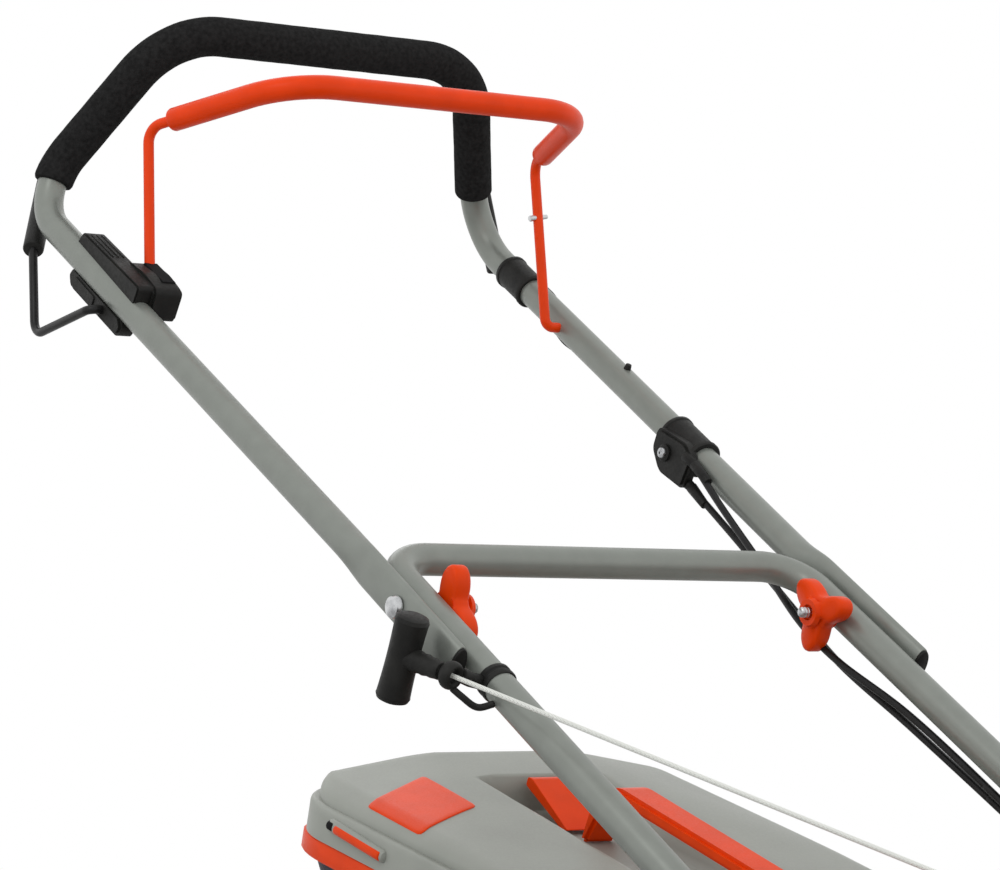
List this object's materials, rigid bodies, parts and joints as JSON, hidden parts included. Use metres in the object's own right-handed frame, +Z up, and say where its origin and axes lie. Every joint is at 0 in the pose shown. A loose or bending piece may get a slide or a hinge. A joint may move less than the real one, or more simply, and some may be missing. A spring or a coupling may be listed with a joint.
{
  "type": "rotary lawn mower",
  "caption": "Walk-behind petrol rotary lawn mower with folding tube handle, two squeeze bails, recoil starter, height lever and rear grass collector.",
  "frame": {"origin": "on the ground at the middle of the mower's plan, below the centre of its outer box", "axes": "+Z up, -Y is the mower's front, +X is the operator's left"},
  "size_m": [0.566, 1.7595, 1.0367],
  "materials": {
    "grey_tube": "satin grey powder coat",
    "foam": "matte closed-cell foam",
    "orange_coat": "satin orange",
    "orange_plastic": "satin orange plastic",
    "black_coat": "satin black",
    "black_plastic": "textured black plastic",
    "cable_jacket": "black cable jacket",
    "rope": "off-white braided rope",
    "zinc_steel": "zinc plated",
    "blade_steel": "ground steel",
    "deck_paint": "orange powder coat",
    "engine_casting": "cast aluminium",
    "lid_grey": "satin grey plastic",
    "bag_fabric": "dark woven fabric",
    "tyre": "black rubber"
  },
  "bodies": {
    "mower": {"deck_shell": "deck_paint", "handle_bracket_left": "black_coat", "handle_bracket_right": "black_coat", "pivot_bolt_left": "zinc_steel", "pivot_bolt_right": "zinc_steel", "flap_hinge_rod": "zinc_steel", "engine_crankcase": "engine_casting", "engine_cylinder": "engine_casting", "blower_housing": "black_plastic", "recoil_cover": "black_plastic", "fuel_tank": "black_plastic", "air_filter_cover": "black_plastic", "muffler": "zinc_steel", "spark_plug_boot": "cable_jacket", "height_quadrant": "zinc_steel", "drive_gearbox": "black_plastic"},
    "lower_handle": {"lower_handle_tube": "grey_tube", "handle_bolt_left": "zinc_steel", "handle_bolt_right": "zinc_steel", "rope_guide": "black_plastic", "engine_stop_cable": "cable_jacket", "drive_cable": "cable_jacket", "starter_rope": "rope"},
    "upper_handle": {"upper_handle_tube": "grey_tube", "foam_grip": "foam", "control_housing": "black_plastic", "drive_cable_housing": "black_plastic", "drive_bail_bracket": "black_plastic", "cable_clamp": "black_plastic"},
    "brake_bail": {"engine_brake_bail": "orange_coat", "engine_brake_bail_grip": "orange_coat"},
    "drive_bail": {"drive_bail": "black_coat", "drive_bail_grip": "black_plastic"},
    "knob_left": {"handle_knob_left": "orange_plastic"},
    "knob_right": {"handle_knob_right": "orange_plastic"},
    "starter_grip": {"starter_grip": "black_plastic"},
    "fuel_cap": {"fuel_cap": "black_plastic"},
    "blade": {"crankshaft": "zinc_steel", "blade": "blade_steel", "blade_bolt": "zinc_steel"},
    "discharge_flap": {"discharge_flap": "black_plastic"},
    "collector": {"collector_lid": "lid_grey", "collector_trim": "orange_plastic", "collector_bag": "bag_fabric", "collector_handle": "orange_plastic"},
    "level_flap": {"level_flap": "orange_plastic"},
    "rear_arms": {"rear_arm_left": "zinc_steel", "rear_arm_right": "zinc_steel", "height_lever_grip": "orange_plastic"},
    "front_axle": {"front_axle": "zinc_steel"},
    "height_link": {"height_link": "zinc_steel"},
    "drive_shaft": {"drive_shaft": "zinc_steel"},
    "rear_wheel_left": {"rear_tyre_left": "tyre", "rear_rim_left": "black_plastic"},
    "rear_wheel_right": {"rear_tyre_right": "tyre", "rear_rim_right": "black_plastic"},
    "front_wheel_left": {"front_tyre_left": "tyre", "front_rim_left": "black_plastic"},
    "front_wheel_right": {"front_tyre_right": "tyre", "front_rim_right": "black_plastic"}
  },
  "joints": [
    {"name": "lower_handle_fold", "type": "hinge", "parent": "mower", "child": "lower_handle", "pos_m": [0, -0.164, 0.235], "axis": [1, 0, 0], "range_deg": [0, 120], "deforming": ["engine_stop_cable", "drive_cable", "starter_rope"]},
    {"name": "upper_handle_fold", "type": "hinge", "parent": "lower_handle", "child": "upper_handle", "pos_m": [0, 0.28, 0.52], "axis": [-1, 0, 0], "range_deg": [-120, 0]},
    {"name": "engine_brake_bail_squeeze", "type": "hinge", "parent": "upper_handle", "child": "brake_bail", "pos_m": [0, 0.6839, 0.7793], "axis": [-1, 0, 0], "range_deg": [0, 44], "stiffness_Nm_per_rad": 1, "springref_deg": -28.65},
    {"name": "drive_bail_squeeze", "type": "hinge", "parent": "upper_handle", "child": "drive_bail", "pos_m": [0, 0.7007, 0.7717], "axis": [1, 0, 0], "range_deg": [-30, 1], "stiffness_Nm_per_rad": 1, "springref_deg": -34.38},
    {"name": "knob_left_turn", "type": "hinge", "parent": "lower_handle", "child": "knob_left", "pos_m": [0.176, 0.28, 0.52], "axis": [1, 0, 0], "range_deg": [0, 720]},
    {"name": "knob_right_turn", "type": "hinge", "parent": "lower_handle", "child": "knob_right", "pos_m": [-0.176, 0.28, 0.52], "axis": [-1, 0, 0], "range_deg": [0, 720]},
    {"name": "starter_pull", "type": "slide", "parent": "lower_handle", "child": "starter_grip", "axis": [-0.2602, 0.9179, 0.2997], "range_m": [0, 0.6], "stiffness_N_per_m": 15, "springref_m": -0.4},
    {"name": "fuel_cap_turn", "type": "hinge", "parent": "mower", "child": "fuel_cap", "pos_m": [0.146, -0.545, 0.28], "axis": [0, 0, 1], "range_deg": [0, 120]},
    {"name": "blade_spin", "type": "hinge", "parent": "mower", "child": "blade", "pos_m": [0, -0.47, 0.08], "axis": [0, 0, 1], "continuous": true},
    {"name": "discharge_flap_lift", "type": "hinge", "parent": "mower", "child": "discharge_flap", "pos_m": [0, -0.16, 0.222], "axis": [1, 0, 0], "range_deg": [0, 55], "stiffness_Nm_per_rad": 0.1, "springref_deg": -57.3},
    {"name": "collector_slide", "type": "slide", "parent": "mower", "child": "collector", "axis": [0, 0.9659, 0.2588], "range_m": [0, 0.45]},
    {"name": "level_flap_lift", "type": "hinge", "parent": "collector", "child": "level_flap", "pos_m": [0, 0.4042, 0.3852], "axis": [-1, 0, 0], "range_deg": [0, 35]},
    {"name": "height_adjust", "type": "hinge", "parent": "mower", "child": "rear_arms", "pos_m": [0, -0.24, 0.138], "axis": [-1, 0, 0], "range_deg": [0, 35]},
    {"name": "front_height", "type": "hinge", "parent": "mower", "child": "front_axle", "pos_m": [0, -0.8, 0.118], "axis": [-1, 0, 0], "range_deg": [0, 35]},
    {"name": "height_link_pivot", "type": "hinge", "parent": "rear_arms", "child": "height_link", "pos_m": [-0.213, -0.24, 0.178], "axis": [-1, 0, 0], "range_deg": [-35, 0]},
    {"name": "drive_shaft_spin", "type": "hinge", "parent": "mower", "child": "drive_shaft", "pos_m": [0, -0.24, 0.138], "axis": [1, 0, 0], "continuous": true},
    {"name": "rear_wheel_left_roll", "type": "hinge", "parent": "rear_arms", "child": "rear_wheel_left", "pos_m": [0.256, -0.19, 0.12], "axis": [1, 0, 0], "continuous": true},
    {"name": "rear_wheel_right_roll", "type": "hinge", "parent": "rear_arms", "child": "rear_wheel_right", "pos_m": [-0.256, -0.19, 0.12], "axis": [1, 0, 0], "continuous": true},
    {"name": "front_wheel_left_roll", "type": "hinge", "parent": "front_axle", "child": "front_wheel_left", "pos_m": [0.25, -0.75, 0.1], "axis": [1, 0, 0], "continuous": true},
    {"name": "front_wheel_right_roll", "type": "hinge", "parent": "front_axle", "child": "front_wheel_right", "pos_m": [-0.25, -0.75, 0.1], "axis": [1, 0, 0], "continuous": true}
  ],
  "couplings": [
    {"joint": "front_height", "follows": "height_adjust", "ratio": 1},
    {"joint": "height_link_pivot", "follows": "height_adjust", "ratio": -1}
  ]
}
